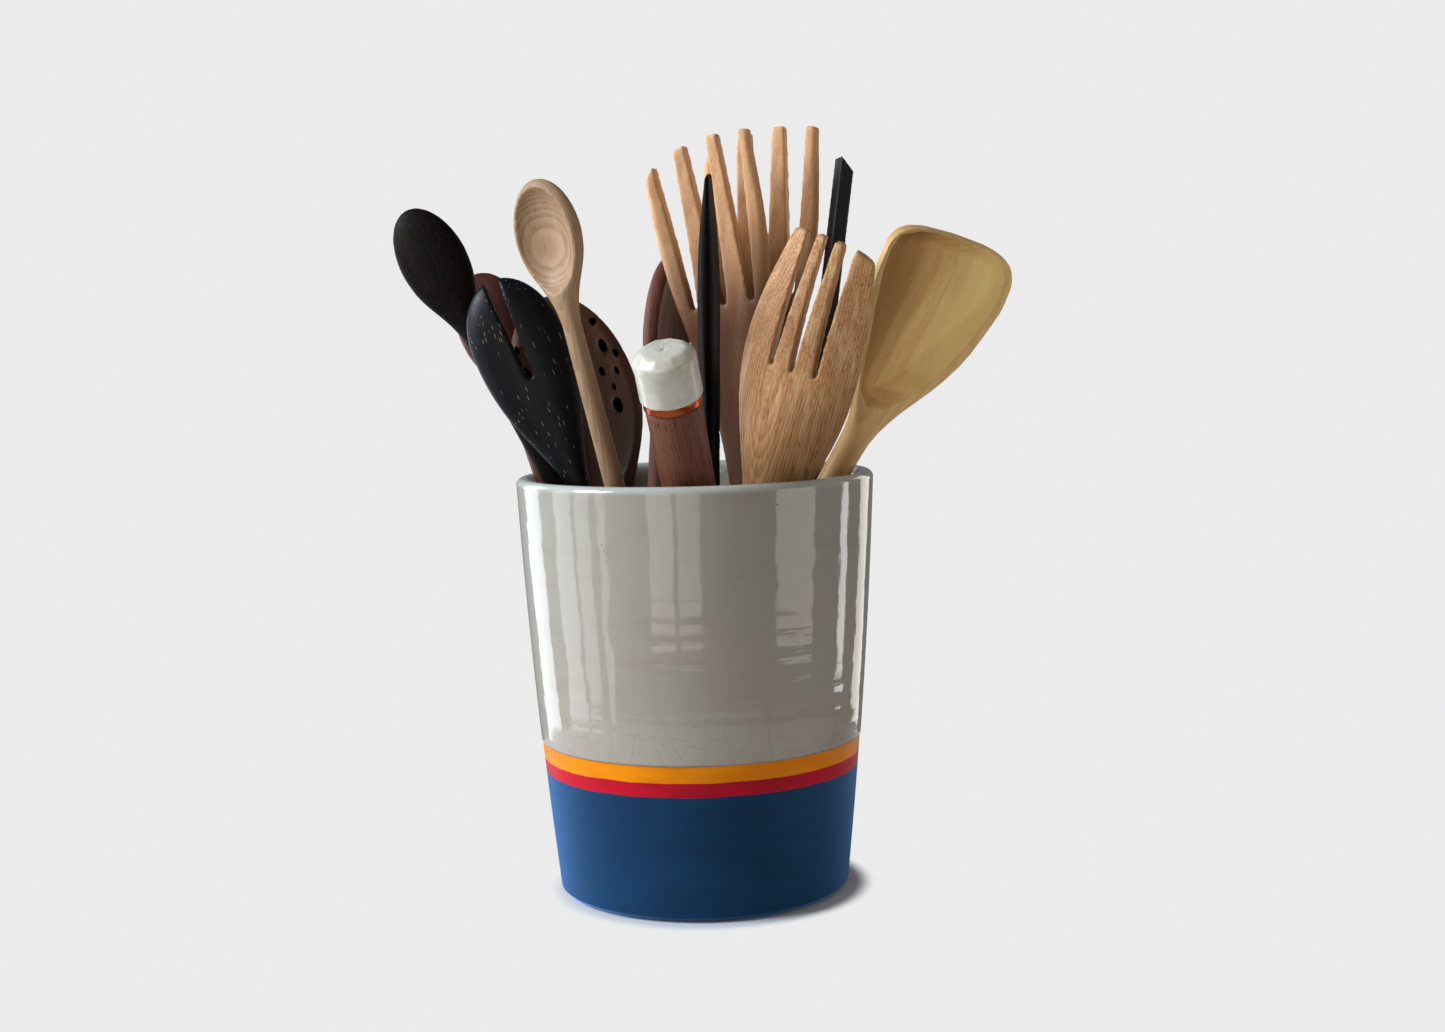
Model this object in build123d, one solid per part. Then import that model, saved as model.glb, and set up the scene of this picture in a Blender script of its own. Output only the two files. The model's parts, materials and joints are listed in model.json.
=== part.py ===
from build123d import *
from math import sqrt
import os

# A hand-thrown stoneware utensil crock and the wooden kitchen tools that stand in it.
# Millimetres, +Z up. The origin is the centre of the flat base; the front is -Y, the right is +X.
# Each tool is drawn upright on its own axes, its foot at the origin, and then leant into the crock.

# Shared clearances and cutting values
seat_gap = 0.3
glue_gap = 0.05
lift_gap = 3.0
overrun = 40.0
foot_inset = 0.4

# Crock
crock_height = 178.0
mouth_outer_radius = 75.7
base_radius = 61.8
wall_bulge = 1.5
wall_thickness = 6.2
floor_thickness = 9.0
floor_fillet = 7.0
base_bevel = 2.5
glaze_edge_height = 65.7
glaze_thickness = 0.3

# Places: the foot across the floor and the handle across the mouth, as shares of their radii
dark_spoon_place_shares = ((0.458, -0.116), (-0.845, -0.235))
slotted_spoon_place_shares = ((0.396, -0.669), (-0.660, -0.516))
pale_spoon_place_shares = ((0.165, -0.863), (-0.431, -0.740))
skimmer_place_shares = ((0.412, -0.445), (-0.520, -0.146))
pointed_spoon_place_shares = ((-0.496, 0.100), (-0.249, 0.636))
red_spoon_place_shares = ((-0.147, -0.536), (-0.923, -0.008))
muddler_place_shares = ((0.399, 0.531), (-0.003, -0.773))
black_spatula_place_shares = ((0.025, 0.898), (0.080, 0.364))
front_hand_place_shares = ((0.713, 0.479), (0.323, 0.581))
back_hand_place_shares = ((0.309, 0.737), (0.390, 0.802))
black_stick_place_shares = ((0.453, 0.055), (0.709, 0.380))
fork_place_shares = ((-0.013, 0.726), (0.480, -0.385))
wok_spatula_place_shares = ((-0.642, 0.641), (0.877, 0.063))

# Dark wenge spoon
dark_spoon_reach = 309.0
dark_spoon_head_width = 28.4
dark_spoon_head_depth = 13.0
dark_spoon_head_length = 62.0
dark_spoon_crown = 24.0
dark_spoon_hollow_depth = 8.5
dark_spoon_neck_radius = 4.2
dark_spoon_foot_radius = 5.0
dark_spoon_turn = 0.0

# Pale maple spoon
pale_spoon_reach = 292.5
pale_spoon_head_width = 33.0
pale_spoon_head_depth = 14.0
pale_spoon_head_length = 58.0
pale_spoon_crown = 23.0
pale_spoon_hollow_depth = 10.0
pale_spoon_neck_radius = 3.9
pale_spoon_foot_radius = 5.0
pale_spoon_turn = -35.0

# Red-brown spoon behind the dark one
red_spoon_reach = 267.5
red_spoon_head_width = 31.0
red_spoon_head_depth = 14.0
red_spoon_head_length = 62.0
red_spoon_crown = 24.0
red_spoon_hollow_depth = 9.0
red_spoon_neck_radius = 4.5
red_spoon_foot_radius = 5.0
red_spoon_turn = 0.0

# Pointed walnut spoon, seen from its side
pointed_spoon_reach = 264.0
pointed_spoon_head_width = 34.0
pointed_spoon_head_depth = 14.0
pointed_spoon_head_length = 80.0
pointed_spoon_crown = 38.0
pointed_spoon_hollow_depth = 6.5
pointed_spoon_neck_radius = 5.5
pointed_spoon_foot_radius = 5.5
pointed_spoon_turn = 62.0

# Slotted ebony spoon
slotted_spoon_reach = 265.5
slotted_spoon_head_width = 38.6
slotted_spoon_head_depth = 15.0
slotted_spoon_head_length = 92.0
slotted_spoon_crown = 27.0
slotted_spoon_hollow_depth = 10.5
slotted_spoon_neck_radius = 4.8
slotted_spoon_foot_radius = 5.2
slotted_spoon_turn = 0.0
slot_length = 42.0
slot_top_width = 5.8
slot_foot_width = 2.6

# Walnut skimmer
skimmer_reach = 254.0
skimmer_head_width = 51.0
skimmer_head_depth = 13.0
skimmer_head_length = 98.0
skimmer_crown = 42.0
skimmer_hollow_depth = 8.0
skimmer_neck_radius = 5.5
skimmer_foot_radius = 5.5
skimmer_turn = 0.0
skimmer_hole_radius = 2.0
skimmer_hole_length = 6.4
# each pair of holes: across, drop and size
skimmer_hole_shares = (
    (0.67, 0.18, 0.6),
    (0.68, 0.29, 1.0),
    (0.84, 0.34, 0.6),
    (0.51, 0.39, 0.7),
    (0.75, 0.41, 0.6),
    (0.61, 0.47, 0.5),
    (0.57, 0.55, 1.1),
)

# What the turned spoons share
spoon_rim = 1.6
# down from the widest place to the neck, and how much of the head is left there
spoon_taper_shares = ((0.0, 1.0), (0.18, 0.93), (0.38, 0.72), (0.57, 0.42), (0.78, 0.15), (1.0, 0.0))
long_taper_shares = ((0.0, 1.0), (0.22, 0.96), (0.42, 0.79), (0.62, 0.50), (0.82, 0.18), (1.0, 0.0))
hollow_length_share = 1.04

# Muddler: marble head, copper band and turned shaft on a hidden stud
muddler_reach = 241.0
muddler_head_radius = 12.5
muddler_head_height = 20.5
muddler_head_chamfer = 3.2
muddler_head_edge = 0.8
muddler_dimple_radius = 1.6
muddler_band_radius = 11.7
muddler_band_height = 3.6
muddler_spigot_radius = 9.8
muddler_shaft_radius = 11.3
muddler_foot_radius = 8.0
muddler_stud_radius = 3.0
muddler_stud_length = 28.0
muddler_stud_in_head = 12.0

# Flat black spatula, seen on its edge
black_spatula_reach = 293.0
black_spatula_head_width = 34.0
black_spatula_depth = 9.4
black_spatula_head_length = 120.0
black_spatula_foot_width = 10.5
black_spatula_turn = 88.0
# every table like this holds drop, width, depth, edge, bow and sweep
black_spatula_shares = (
    (0.00, 0.50, 0.22, 0.20, 0.0, 0.0),
    (0.10, 0.92, 0.52, 0.34, 0.0, 0.0),
    (0.27, 1.00, 0.90, 0.60, 0.0, 0.0),
    (0.50, 0.88, 1.00, 0.70, 0.0, 0.0),
    (0.75, 0.48, 1.00, 0.60, 0.0, 0.0),
    (1.00, 0.31, 0.96, 0.50, 0.0, 0.0),
)

# Pair of beech salad hands
hand_reaches = (310.0, 313.5)
hand_turns = (-20.0, -16.0)
hand_width = 56.0
hand_depth = 10.0
hand_bow = -3.0
hand_sweep = -14.0
hand_length = 176.0
hand_foot_width = 13.0
hand_tine_gap = 9.6
hand_tine_root_gap = 3.0
hand_tine_length = 72.0
hand_crown = 22.0
hand_crown_width = 84.0
hand_crown_shift = 13.5
hand_shares = (
    (0.00, 1.00, 0.62, 0.56, 1.0, 1.0),
    (0.20, 0.97, 0.68, 0.60, 1.0, 0.55),
    (0.38, 0.84, 0.76, 0.62, 1.0, 0.22),
    (0.54, 0.62, 0.88, 0.62, 0.8, 0.05),
    (0.72, 0.42, 1.00, 0.60, 0.4, 0.0),
    (1.00, 0.32, 1.00, 0.55, 0.0, 0.0),
)

# Square black stick with a slanted end
black_stick_reach = 308.0
black_stick_width = 6.8
black_stick_depth = 7.4
black_stick_edge = 0.6
black_stick_slant = 6.0
black_stick_turn = 25.0

# Four-tined fork, its back to the front
fork_reach = 278.0
fork_width = 51.0
fork_depth = 12.0
fork_bow = 6.5
fork_sweep = 17.0
fork_length = 152.0
fork_foot_width = 13.0
fork_turn = -26.0
fork_slot_gap = 4.4
fork_slot_foot = 1.9
fork_slot_length = 52.0
fork_slot_pitch = 9.6
fork_crown = 13.0
fork_crown_width = 56.0
fork_crown_shift = -5.0
fork_shares = (
    (0.00, 0.68, 0.40, 0.30, 0.6, 1.00),
    (0.14, 0.88, 0.50, 0.34, 0.9, 0.55),
    (0.30, 1.00, 0.62, 0.38, 1.0, 0.16),
    (0.45, 0.95, 0.76, 0.45, 1.0, 0.00),
    (0.62, 0.70, 0.95, 0.55, 0.6, 0.00),
    (0.80, 0.43, 1.00, 0.60, 0.2, 0.00),
    (1.00, 0.27, 1.00, 0.55, 0.0, 0.00),
)

# Wok spatula with a dished blade
wok_spatula_reach = 302.5
wok_spatula_width = 66.0
wok_spatula_depth = 11.0
wok_spatula_bow = -6.0
wok_spatula_sweep = 10.0
wok_spatula_length = 112.0
wok_spatula_foot_width = 11.0
wok_spatula_turn = 26.0
wok_spatula_crown = 15.0
wok_spatula_crown_width = 72.0
wok_spatula_crown_shift = 6.0
wok_spatula_dish_width = 52.0
wok_spatula_dish_length = 68.0
wok_spatula_dish_drop = 36.0
wok_spatula_dish_ball_depth = 3.6
wok_spatula_dish_set_forward = 2.5
wok_spatula_dish_tilt = -8.0
wok_spatula_shares = (
    (0.00, 0.88, 0.40, 0.30, 0.9, 1.0),
    (0.06, 0.96, 0.50, 0.33, 1.0, 0.84),
    (0.18, 1.00, 0.66, 0.38, 1.0, 0.55),
    (0.42, 0.81, 1.00, 0.44, 1.0, 0.12),
    (0.64, 0.42, 1.00, 0.60, 0.5, 0.0),
    (0.84, 0.18, 0.95, 0.60, 0.1, 0.0),
    (1.00, 0.17, 0.95, 0.55, 0.0, 0.0),
)


def outer_radius(height):
    # the wall widens evenly and swells a little at mid height
    share = height / crock_height
    return base_radius + (mouth_outer_radius - base_radius) * share + 4 * wall_bulge * share * (1 - share)


def inner_radius(height):
    return outer_radius(height) - wall_thickness


floor_radius = inner_radius(floor_thickness)
mouth_radius = inner_radius(crock_height)


def wall_arc(radius_at, low, high, out):
    # a side of the wall as one arc between two heights
    heights = (low, (low + high) / 2, high)
    return ThreePointArc(*((radius_at(height) + out, height) for height in heights))


def make_crock():
    lip_height = crock_height - wall_thickness / 2
    bare = wall_arc(outer_radius, base_bevel, glaze_edge_height, 0)
    glazed = wall_arc(outer_radius, glaze_edge_height + glaze_thickness, lip_height, glaze_thickness)
    inner = wall_arc(inner_radius, floor_thickness + floor_fillet, lip_height, 0)
    lip_middle = (outer_radius(crock_height) + glaze_thickness + mouth_radius) / 2
    lip = ThreePointArc(glazed @ 1, (lip_middle, crock_height), inner @ 1)
    corner = inner @ 0
    floor_edge = (corner.X - floor_fillet, floor_thickness)
    bend = floor_fillet * (1 - sqrt(0.5))
    round_floor = ThreePointArc(corner, (corner.X - bend, floor_thickness + bend), floor_edge)
    base_edge = (outer_radius(0) - base_bevel, 0)
    below = Polyline(floor_edge, (0, floor_thickness), (0, 0), base_edge, bare @ 0)
    glaze_step = Line(bare @ 1, glazed @ 0)
    outline = bare + glaze_step + glazed + lip + inner + round_floor + below
    return revolve(Plane.XZ * make_face(outline), Axis.Z)


def stand(place_shares, turn, half_width, half_depth, rise):
    # the plane of a tool: Z runs up its handle, X across it, and the foot's lowest point is seat_gap up
    (foot_x, foot_y), (mouth_x, mouth_y) = place_shares
    foot = Vector(foot_x * floor_radius, foot_y * floor_radius, floor_thickness)
    mouth = Vector(mouth_x * mouth_radius, mouth_y * mouth_radius, crock_height)
    lean = (mouth - foot).normalized()
    across = (Vector(1, 0, 0) - lean * lean.X).normalized()
    turned = across.rotate(Axis(foot, lean), turn)
    plane = Plane(origin=foot, x_dir=turned, z_dir=lean)
    drops = (half_width * plane.x_dir.Z, half_depth * plane.y_dir.Z, rise * lean.Z)
    raised = seat_gap + sqrt(sum(drop * drop for drop in drops))
    plane.origin = foot + lean * (raised / lean.Z)
    return plane


def keep(name, solid, plane):
    # put one piece in its place and write it
    placed = solid.moved(plane.location)
    export_step(placed, f"parts/{name}.step")
    print(name, "solids", len(placed.solids()), "volume", round(placed.volume))


def tell(name, plane):
    # how the tool slides out: its axis, and the travel that takes the foot clear of the mouth
    axis = plane.z_dir
    travel = (crock_height + lift_gap - plane.origin.Z) / axis.Z
    print("slide", name, [round(part, 5) for part in axis], "travel", round(travel, 1))


def oval(half_width, half_depth):
    if half_width == half_depth:
        return Circle(half_width)
    return Ellipse(half_width, half_depth)


def ball(half_width, half_depth, half_height):
    return scale(Sphere(1), by=(half_width, half_depth, half_height))


def crown_cap(half_width, half_depth, crown, height):
    whole = Pos(0, 0, height) * ball(half_width, half_depth, crown)
    return split(whole, bisect_by=Plane.XY.offset(height), keep=Keep.TOP)


def round_handle(low_radius, high_radius, height):
    ends = (Circle(low_radius), Plane.XY.offset(height) * Circle(high_radius))
    return loft([end.face() for end in ends], ruled=True) + Sphere(low_radius)


def spoon_body(reach, width, depth, crown, length, neck_radius, foot_radius, taper_shares):
    # a domed head that flows down into a round handle
    sections = []
    for drop_share, head_share in taper_shares:
        height = reach - crown - drop_share * (length - crown)
        half_width = neck_radius + head_share * (width / 2 - neck_radius)
        half_depth = neck_radius + head_share * (depth / 2 - neck_radius)
        sections.append(Plane.XY.offset(height) * oval(half_width, half_depth))
    head = loft([section.face() for section in sections])
    cap = crown_cap(width / 2, depth / 2, crown, reach - crown)
    return cap + head + round_handle(foot_radius, neck_radius, reach - length)


def spoon_hollow(reach, width, depth, crown, hollow_depth, side):
    # the scoop of the bowl: side is -1 for the front and 1 for the back
    half_length = crown * hollow_length_share - spoon_rim
    place = Pos(0, side * depth / 2, reach - crown * hollow_length_share)
    return place * ball(width / 2 - spoon_rim, hollow_depth, half_length)


def tapered_slot(low, high, low_half, high_half, height, length, depth):
    # a slot with a round foot that opens upwards, cut through along Y
    sides = Polygon(
        (low - low_half, height),
        (low + low_half, height),
        (high + high_half, height + length),
        (high - high_half, height + length),
        align=None,
    )
    outline = sides + Pos(low, height) * Circle(low_half)
    return extrude(Plane.XZ * outline, amount=depth, both=True)


def curve_over(start, middle, end):
    # a shallow curve through three points that may also lie in line
    pull = tuple(2 * m - (p + q) / 2 for p, m, q in zip(start, middle, end))
    return Bezier(start, pull, end)


def bent_section(height, half_width, half_depth, edge, bow, set_back):
    # a bar with round edges on a bowed middle line: its edges lie bow further back than its middle
    side, rear = half_width - edge, set_back + bow
    front = curve_over((-side, rear - edge), (0, set_back - half_depth), (side, rear - edge))
    right = curve_over((side, rear - edge), (half_width, rear), (side, rear + edge))
    back = curve_over((side, rear + edge), (0, set_back + half_depth), (-side, rear + edge))
    left = curve_over((-side, rear + edge), (-half_width, rear), (-side, rear - edge))
    return Plane.XY.offset(height) * make_face(front + right + back + left)


def blade_section(drop_share, width_share, depth_share, edge_share, bow_share, sweep_share, sizes):
    # one section of a head: drop, width, depth, edge, bow and sweep are shares of the head's sizes
    reach, length, width, depth, bow, sweep = sizes
    half_width = width_share * width / 2
    half_depth = depth_share * depth / 2
    edge = edge_share * depth / 2
    height = reach - drop_share * length
    shape = bent_section(height, half_width, half_depth, edge, bow_share * bow, sweep_share * sweep)
    return shape.face()


def bent_blade(sizes, shares, foot_width):
    # a bowed, swept head, its handle and the handle's domed foot
    reach, length, width, depth, bow, sweep = sizes
    sections = [blade_section(*row, sizes) for row in shares]
    half_depth = shares[-1][2] * depth / 2
    edge = shares[-1][3] * depth / 2
    low = bent_section(0, foot_width / 2, half_depth, edge, 0, 0)
    stem = loft([sections[-1], low.face()], ruled=True)
    foot = ball(foot_width / 2 - foot_inset, half_depth - foot_inset, half_depth - foot_inset)
    return loft(sections) + stem + foot


def top_trim(reach, half_width, crown, shift):
    # what lies outside the rounded top of a wide head
    block = Pos(0, 0, reach) * Box(2 * half_width + overrun, 2 * overrun, 2 * crown)
    curve = Pos(shift, reach - crown) * oval(half_width, crown)
    return block - extrude(Plane.XZ * curve, amount=overrun, both=True)


def make_dark_spoon():
    sizes = (dark_spoon_reach, dark_spoon_head_width, dark_spoon_head_depth, dark_spoon_crown)
    body = spoon_body(
        *sizes, dark_spoon_head_length, dark_spoon_neck_radius, dark_spoon_foot_radius, spoon_taper_shares
    )
    return body - spoon_hollow(*sizes, dark_spoon_hollow_depth, 1)


def make_pale_spoon():
    sizes = (pale_spoon_reach, pale_spoon_head_width, pale_spoon_head_depth, pale_spoon_crown)
    body = spoon_body(
        *sizes, pale_spoon_head_length, pale_spoon_neck_radius, pale_spoon_foot_radius, spoon_taper_shares
    )
    return body - spoon_hollow(*sizes, pale_spoon_hollow_depth, -1)


def make_red_spoon():
    sizes = (red_spoon_reach, red_spoon_head_width, red_spoon_head_depth, red_spoon_crown)
    body = spoon_body(
        *sizes, red_spoon_head_length, red_spoon_neck_radius, red_spoon_foot_radius, spoon_taper_shares
    )
    return body - spoon_hollow(*sizes, red_spoon_hollow_depth, 1)


def make_pointed_spoon():
    sizes = (pointed_spoon_reach, pointed_spoon_head_width, pointed_spoon_head_depth, pointed_spoon_crown)
    body = spoon_body(
        *sizes,
        pointed_spoon_head_length,
        pointed_spoon_neck_radius,
        pointed_spoon_foot_radius,
        spoon_taper_shares,
    )
    return body - spoon_hollow(*sizes, pointed_spoon_hollow_depth, -1)


def make_slotted_spoon():
    sizes = (slotted_spoon_reach, slotted_spoon_head_width, slotted_spoon_head_depth, slotted_spoon_crown)
    body = spoon_body(
        *sizes,
        slotted_spoon_head_length,
        slotted_spoon_neck_radius,
        slotted_spoon_foot_radius,
        long_taper_shares,
    )
    foot = slotted_spoon_reach - slot_length
    half_gaps = (slot_foot_width / 2, slot_top_width / 2)
    slot = tapered_slot(0, 0, *half_gaps, foot, slot_length, slotted_spoon_head_depth)
    return body - spoon_hollow(*sizes, slotted_spoon_hollow_depth, 1) - slot


def make_skimmer():
    sizes = (skimmer_reach, skimmer_head_width, skimmer_head_depth, skimmer_crown)
    body = spoon_body(
        *sizes, skimmer_head_length, skimmer_neck_radius, skimmer_foot_radius, long_taper_shares
    )
    body -= spoon_hollow(*sizes, skimmer_hollow_depth, -1)
    for across, drop, size in skimmer_hole_shares:
        height = skimmer_reach - drop * skimmer_head_length
        oval_hole = Ellipse(size * skimmer_hole_radius, size * skimmer_hole_length / 2)
        for side in (-1, 1):
            place = Pos(side * across * skimmer_head_width / 2, height)
            body -= extrude(Plane.XZ * place * oval_hole, amount=skimmer_head_depth, both=True)
    return body


def make_muddler():
    # the shaft, the band round its spigot, the head and the stud that joins them
    seat = muddler_reach - muddler_head_height
    shoulder = seat - muddler_band_height
    shaft = round_handle(muddler_foot_radius, muddler_shaft_radius, shoulder)
    spigot = Pos(0, 0, shoulder) * Cylinder(
        muddler_spigot_radius, muddler_band_height - glue_gap, align=(Align.CENTER, Align.CENTER, Align.MIN)
    )
    ring = Cylinder(muddler_band_radius, muddler_band_height) - Cylinder(
        muddler_spigot_radius + glue_gap, muddler_band_height
    )
    band = Pos(0, 0, shoulder + muddler_band_height / 2) * ring
    block = Cylinder(muddler_head_radius, muddler_head_height, align=(Align.CENTER, Align.CENTER, Align.MIN))
    block = chamfer(block.edges().group_by(Axis.Z)[-1], muddler_head_chamfer)
    block = fillet(block.edges().group_by(Axis.Z)[0], muddler_head_edge)
    block -= Pos(0, 0, muddler_head_height + muddler_dimple_radius / 2) * Sphere(muddler_dimple_radius)
    head = Pos(0, 0, seat) * block
    stud_foot = seat + muddler_stud_in_head - muddler_stud_length
    stud = Pos(0, 0, stud_foot) * Cylinder(
        muddler_stud_radius, muddler_stud_length, align=(Align.CENTER, Align.CENTER, Align.MIN)
    )
    bore = Pos(0, 0, stud_foot - glue_gap) * Cylinder(
        muddler_stud_radius + glue_gap,
        muddler_stud_length + 2 * glue_gap,
        align=(Align.CENTER, Align.CENTER, Align.MIN),
    )
    return {
        "muddler_shaft": shaft + spigot - bore,
        "muddler_band": band,
        "muddler_head": head - bore,
        "muddler_stud": stud,
    }


def make_black_spatula():
    sizes = (
        black_spatula_reach,
        black_spatula_head_length,
        black_spatula_head_width,
        black_spatula_depth,
        0,
        0,
    )
    return bent_blade(sizes, black_spatula_shares, black_spatula_foot_width)


def make_hand(reach):
    sizes = (reach, hand_length, hand_width, hand_depth, hand_bow, hand_sweep)
    body = bent_blade(sizes, hand_shares, hand_foot_width)
    tine_pitch = (hand_width + hand_tine_gap) / 4
    foot = reach - hand_tine_length
    for place in (-1, 0, 1):
        high = place * tine_pitch
        low = high * hand_shares[2][1]
        half_gaps = (hand_tine_root_gap / 2, hand_tine_gap / 2)
        body -= tapered_slot(low, high, *half_gaps, foot, hand_tine_length, overrun)
    return body - top_trim(reach, hand_crown_width / 2, hand_crown, hand_crown_shift)


def make_black_stick():
    upright = (Align.CENTER, Align.CENTER, Align.MIN)
    bar = Box(black_stick_width, black_stick_depth, black_stick_reach, align=upright)
    bar = chamfer(bar.edges().filter_by(Axis.Z), black_stick_edge)
    # the slanted end: its cut goes on past the bar's right side at the same slope
    right = black_stick_width / 2 + overrun
    low = black_stick_reach - black_stick_slant * (1 + overrun / black_stick_width)
    left_corner = (-black_stick_width / 2, black_stick_reach)
    slope = Polygon(left_corner, (right, black_stick_reach), (right, low), align=None)
    return bar - extrude(Plane.XZ * slope, amount=overrun, both=True)


def make_fork():
    sizes = (fork_reach, fork_length, fork_width, fork_depth, fork_bow, fork_sweep)
    body = bent_blade(sizes, fork_shares, fork_foot_width)
    foot = fork_reach - fork_slot_length
    for place in (-1, 0, 1):
        low = place * fork_slot_pitch
        high = low * fork_shares[1][1]
        half_gaps = (fork_slot_foot / 2, fork_slot_gap / 2)
        body -= tapered_slot(low, high, *half_gaps, foot, fork_slot_length, overrun)
    return body - top_trim(fork_reach, fork_crown_width / 2, fork_crown, fork_crown_shift)


def make_wok_spatula():
    sizes = (
        wok_spatula_reach,
        wok_spatula_length,
        wok_spatula_width,
        wok_spatula_depth,
        wok_spatula_bow,
        wok_spatula_sweep,
    )
    body = bent_blade(sizes, wok_spatula_shares, wok_spatula_foot_width)
    trim = (wok_spatula_crown_width / 2, wok_spatula_crown, wok_spatula_crown_shift)
    body -= top_trim(wok_spatula_reach, *trim)
    # the scoop in the front of the blade, inside a raised lip
    scoop = ball(wok_spatula_dish_width / 2, wok_spatula_dish_ball_depth, wok_spatula_dish_length / 2)
    place = Pos(0, -wok_spatula_dish_set_forward, wok_spatula_reach - wok_spatula_dish_drop)
    return body - place * Rot(wok_spatula_dish_tilt, 0, 0) * scoop


def round_foot(radius):
    # half width, half depth and height of a foot's dome
    return radius, radius, radius


def flat_foot(width, depth):
    return width / 2, depth / 2, depth / 2


def make_tools():
    # every one-piece tool: its solid, its place, its turn about the handle and its foot
    spoons = {
        "dark_spoon": (make_dark_spoon(), dark_spoon_place_shares, dark_spoon_turn, dark_spoon_foot_radius),
        "pale_spoon": (make_pale_spoon(), pale_spoon_place_shares, pale_spoon_turn, pale_spoon_foot_radius),
        "red_spoon": (make_red_spoon(), red_spoon_place_shares, red_spoon_turn, red_spoon_foot_radius),
        "pointed_spoon": (
            make_pointed_spoon(), pointed_spoon_place_shares, pointed_spoon_turn, pointed_spoon_foot_radius
        ),
        "slotted_spoon": (
            make_slotted_spoon(), slotted_spoon_place_shares, slotted_spoon_turn, slotted_spoon_foot_radius
        ),
        "skimmer": (make_skimmer(), skimmer_place_shares, skimmer_turn, skimmer_foot_radius),
    }
    tools = {name: (*row[:3], round_foot(row[3])) for name, row in spoons.items()}
    spatula_foot = flat_foot(black_spatula_foot_width, black_spatula_depth)
    tools["black_spatula"] = (
        make_black_spatula(), black_spatula_place_shares, black_spatula_turn, spatula_foot
    )
    hand_foot = flat_foot(hand_foot_width, hand_depth)
    front_reach, back_reach = hand_reaches
    front_turn, back_turn = hand_turns
    tools["front_salad_hand"] = (make_hand(front_reach), front_hand_place_shares, front_turn, hand_foot)
    tools["back_salad_hand"] = (make_hand(back_reach), back_hand_place_shares, back_turn, hand_foot)
    tools["fork"] = (make_fork(), fork_place_shares, fork_turn, flat_foot(fork_foot_width, fork_depth))
    wok_foot = flat_foot(wok_spatula_foot_width, wok_spatula_depth)
    tools["wok_spatula"] = (make_wok_spatula(), wok_spatula_place_shares, wok_spatula_turn, wok_foot)
    stick_foot = (black_stick_width / 2, black_stick_depth / 2, 0)
    tools["black_stick"] = (make_black_stick(), black_stick_place_shares, black_stick_turn, stick_foot)
    return tools


def main():
    os.makedirs("parts", exist_ok=True)
    keep("crock", make_crock(), Plane.XY)
    for name, (solid, place_shares, turn, foot) in make_tools().items():
        plane = stand(place_shares, turn, *foot)
        keep(name, solid, plane)
        tell(name, plane)
    plane = stand(muddler_place_shares, 0, *round_foot(muddler_foot_radius))
    for name, solid in make_muddler().items():
        keep(name, solid, plane)
    tell("muddler", plane)


main()
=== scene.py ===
import json
import math
from functools import partial

import bmesh
import bpy
import numpy as np
from mathutils import Matrix, Vector


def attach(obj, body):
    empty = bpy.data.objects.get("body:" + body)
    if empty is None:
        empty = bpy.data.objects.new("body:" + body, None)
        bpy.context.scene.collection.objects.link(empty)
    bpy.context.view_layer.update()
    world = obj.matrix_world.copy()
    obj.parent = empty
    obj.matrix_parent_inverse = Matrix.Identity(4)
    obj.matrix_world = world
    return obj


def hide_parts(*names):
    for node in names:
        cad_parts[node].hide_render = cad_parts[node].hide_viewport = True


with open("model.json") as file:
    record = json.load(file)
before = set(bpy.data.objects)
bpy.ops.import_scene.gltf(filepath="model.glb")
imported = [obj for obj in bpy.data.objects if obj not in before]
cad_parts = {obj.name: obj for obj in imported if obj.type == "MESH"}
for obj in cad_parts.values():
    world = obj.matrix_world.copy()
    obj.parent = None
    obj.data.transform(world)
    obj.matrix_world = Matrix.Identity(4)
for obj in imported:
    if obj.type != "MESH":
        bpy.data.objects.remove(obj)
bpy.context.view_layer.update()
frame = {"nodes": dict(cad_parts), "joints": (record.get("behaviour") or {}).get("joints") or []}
nodes = frame["nodes"]
lifts = {joint["child"]: Vector(joint["axis"]).normalized() for joint in frame["joints"]}
mm = 0.001
print("frame loaded:", len(nodes), "nodes")


# Materials: one function adds a node of any kind

nodeKinds = {
    # the node's type, its settings, the sockets that take the values in turn, and the output that is used
    "attribute": ("Attribute", {}, (), "Vector"),
    "coordinates": ("TexCoord", {}, (), "Object"),
    "stretch": ("Mapping", {}, ("Vector", "Scale", "Location", "Rotation"), 0),
    "axis": ("SeparateXYZ", {}, (0,), "Z"),
    "chance": ("SeparateColor", {}, (0,), 0),
    "vectorTimes": ("VectorMath", {"operation": "MULTIPLY"}, (0, 1), "Vector"),
    "length": ("VectorMath", {"operation": "LENGTH"}, (0,), "Value"),
    "maths": ("Math", {}, (0, 1), 0),
    "times": ("Math", {"operation": "MULTIPLY"}, (0, 1), 0),
    "timesPlus": ("Math", {"operation": "MULTIPLY_ADD"}, (0, 1, 2), 0),
    "range": ("MapRange", {"interpolation_type": "SMOOTHSTEP"}, (0, 1, 2, 3, 4), 0),
    "blend": ("Mix", {}, (0, 2, 3), 0),
    "mix": ("Mix", {"data_type": "RGBA"}, (0, 6, 7), 2),
    "noise": ("TexNoise", {}, ("Vector", "Scale", "Detail", "Roughness", "Distortion"), 0),
    "cells": ("TexVoronoi", {}, ("Vector", "Scale"), "Distance"),
    "bump": ("Bump", {}, ("Height", "Distance", "Strength"), 0),
    "cameraRays": ("LightPath", {}, (), "Is Camera Ray"),
    "glow": ("Emission", {}, ("Color", "Strength"), 0),
    "shaders": ("MixShader", {}, (0, 1, 2), 0),
}


def fillSockets(node, values):
    # each socket gets a value or the output that feeds it
    for socket, value in values.items():
        if isinstance(value, bpy.types.NodeSocket):
            node.id_data.links.new(value, node.inputs[socket])
        else:
            node.inputs[socket].default_value = value


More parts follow.
